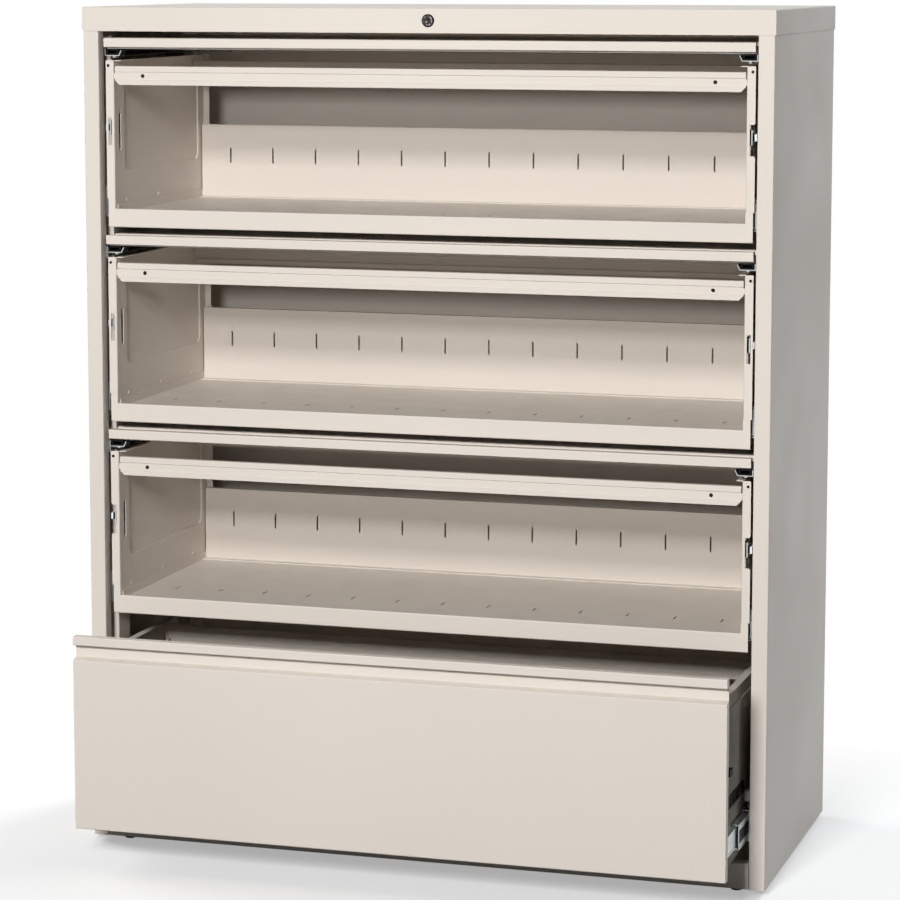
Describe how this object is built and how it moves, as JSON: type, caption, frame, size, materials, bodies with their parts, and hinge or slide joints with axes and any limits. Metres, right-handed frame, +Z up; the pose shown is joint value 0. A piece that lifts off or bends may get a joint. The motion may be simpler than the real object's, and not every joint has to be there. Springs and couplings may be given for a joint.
{
  "type": "lateral filing cabinet",
  "caption": "Wide steel lateral filing cabinet with receding doors over roll-out file frames, a fixed-front bottom drawer, a capped top with a lock, and levelling glides.",
  "frame": {"origin": "on the floor, midway between the four glide feet, which is under the middle of the case", "axes": "+X to the right seen from the front, +Y from the front to the back, +Z up; the front faces -Y"},
  "size_m": [1.0668, 0.6112, 1.2954],
  "materials": {
    "paint": "warm putty powder coat, fine orange peel, satin",
    "inner_paint": "thin putty powder coat on inner sheets, satin",
    "zinc": "bright zinc plate with faint blue passivation",
    "bright_steel": "bright turned steel",
    "chrome": "polished nickel chrome with brushed face",
    "black_nylon": "moulded black nylon, matt",
    "cream_plastic": "moulded cream plastic, satin"
  },
  "bodies": {
    "case": {"case_side_left": "paint", "case_side_right": "paint", "case_back": "paint", "top_cap": "paint", "top_rail": "paint", "kick_rail": "paint", "bottom_pan": "inner_paint", "slotted_uprights": "inner_paint", "leveling_glides": "black_nylon", "slide_outer_members": "zinc", "door_tracks": "zinc", "door_pads": "black_nylon", "pad_bolts": "bright_steel", "lock_housing": "chrome"},
    "interlock": {"interlock_straps": "zinc"},
    "lock": {"lock_plug": "chrome", "lock_cam": "zinc"},
    "rollout_1": {"rollout_1_side_left": "paint", "rollout_1_side_right": "paint", "rollout_1_tray": "paint", "rollout_1_back_plate": "paint", "rollout_1_hang_rails": "paint", "rollout_1_slide_inner": "zinc"},
    "rollout_1_slides": {"rollout_1_slide_middle": "zinc"},
    "door_1": {"door_1_skin": "paint", "door_1_liner": "paint", "door_1_knuckles": "zinc"},
    "door_1_axle": {"door_1_axle": "bright_steel"},
    "rollout_2": {"rollout_2_side_left": "paint", "rollout_2_side_right": "paint", "rollout_2_tray": "paint", "rollout_2_back_plate": "paint", "rollout_2_hang_rails": "paint", "rollout_2_slide_inner": "zinc"},
    "rollout_2_slides": {"rollout_2_slide_middle": "zinc"},
    "door_2": {"door_2_skin": "paint", "door_2_liner": "paint", "door_2_knuckles": "zinc"},
    "door_2_axle": {"door_2_axle": "bright_steel"},
    "rollout_3": {"rollout_3_side_left": "paint", "rollout_3_side_right": "paint", "rollout_3_tray": "paint", "rollout_3_back_plate": "paint", "rollout_3_hang_rails": "paint", "rollout_3_slide_inner": "zinc"},
    "rollout_3_slides": {"rollout_3_slide_middle": "zinc"},
    "door_3": {"door_3_skin": "paint", "door_3_liner": "paint", "door_3_knuckles": "zinc"},
    "door_3_axle": {"door_3_axle": "bright_steel"},
    "drawer": {"drawer_side_left": "inner_paint", "drawer_side_right": "inner_paint", "drawer_tray": "inner_paint", "drawer_back_plate": "inner_paint", "drawer_hang_rails": "paint", "drawer_slide_inner": "zinc", "drawer_front": "paint", "drawer_liner": "inner_paint", "drawer_rail_clips": "cream_plastic"},
    "drawer_slides": {"drawer_slide_middle": "zinc"}
  },
  "joints": [
    {"name": "interlock_lift", "type": "slide", "parent": "case", "child": "interlock", "axis": [0, 0, 1], "range_m": [-0.008, 0]},
    {"name": "lock_turn", "type": "hinge", "parent": "case", "child": "lock", "pos_m": [0.016, -0.23655, 1.27715], "axis": [0, 1, 0], "range_deg": [0, 90]},
    {"name": "rollout_1_travel", "type": "slide", "parent": "case", "child": "rollout_1", "axis": [0, -1, 0], "range_m": [0, 0.33]},
    {"name": "rollout_1_slide_travel", "type": "slide", "parent": "case", "child": "rollout_1_slides", "axis": [0, -1, 0], "range_m": [0, 0.165]},
    {"name": "door_1_travel", "type": "slide", "parent": "case", "child": "door_1", "axis": [0, -1, 0], "range_m": [0, 0.2355]},
    {"name": "door_1_axle_spin", "type": "hinge", "parent": "door_1", "child": "door_1_axle", "pos_m": [0, 0.04255, 1.2272], "axis": [1, 0, 0], "range_deg": [-1, 3003]},
    {"name": "rollout_2_travel", "type": "slide", "parent": "case", "child": "rollout_2", "axis": [0, -1, 0], "range_m": [0, 0.33]},
    {"name": "rollout_2_slide_travel", "type": "slide", "parent": "case", "child": "rollout_2_slides", "axis": [0, -1, 0], "range_m": [0, 0.165]},
    {"name": "door_2_travel", "type": "slide", "parent": "case", "child": "door_2", "axis": [0, -1, 0], "range_m": [0, 0.2355]},
    {"name": "door_2_axle_spin", "type": "hinge", "parent": "door_2", "child": "door_2_axle", "pos_m": [0, 0.04255, 0.9272], "axis": [1, 0, 0], "range_deg": [-1, 3003]},
    {"name": "rollout_3_travel", "type": "slide", "parent": "case", "child": "rollout_3", "axis": [0, -1, 0], "range_m": [0, 0.33]},
    {"name": "rollout_3_slide_travel", "type": "slide", "parent": "case", "child": "rollout_3_slides", "axis": [0, -1, 0], "range_m": [0, 0.165]},
    {"name": "door_3_travel", "type": "slide", "parent": "case", "child": "door_3", "axis": [0, -1, 0], "range_m": [0, 0.2355]},
    {"name": "door_3_axle_spin", "type": "hinge", "parent": "door_3", "child": "door_3_axle", "pos_m": [0, 0.04255, 0.6272], "axis": [1, 0, 0], "range_deg": [-1, 3003]},
    {"name": "drawer_travel", "type": "slide", "parent": "case", "child": "drawer", "axis": [0, -1, 0], "range_m": [-0.138, 0.192]},
    {"name": "drawer_slide_travel", "type": "slide", "parent": "case", "child": "drawer_slides", "axis": [0, -1, 0], "range_m": [-0.069, 0.096]}
  ],
  "couplings": [
    {"joint": "rollout_1_slide_travel", "follows": "rollout_1_travel", "ratio": 0.5},
    {"joint": "door_1_axle_spin", "follows": "door_1_travel", "rad_per_m": 222.22},
    {"joint": "rollout_2_slide_travel", "follows": "rollout_2_travel", "ratio": 0.5},
    {"joint": "door_2_axle_spin", "follows": "door_2_travel", "rad_per_m": 222.22},
    {"joint": "rollout_3_slide_travel", "follows": "rollout_3_travel", "ratio": 0.5},
    {"joint": "door_3_axle_spin", "follows": "door_3_travel", "rad_per_m": 222.22},
    {"joint": "drawer_slide_travel", "follows": "drawer_travel", "ratio": 0.5}
  ]
}
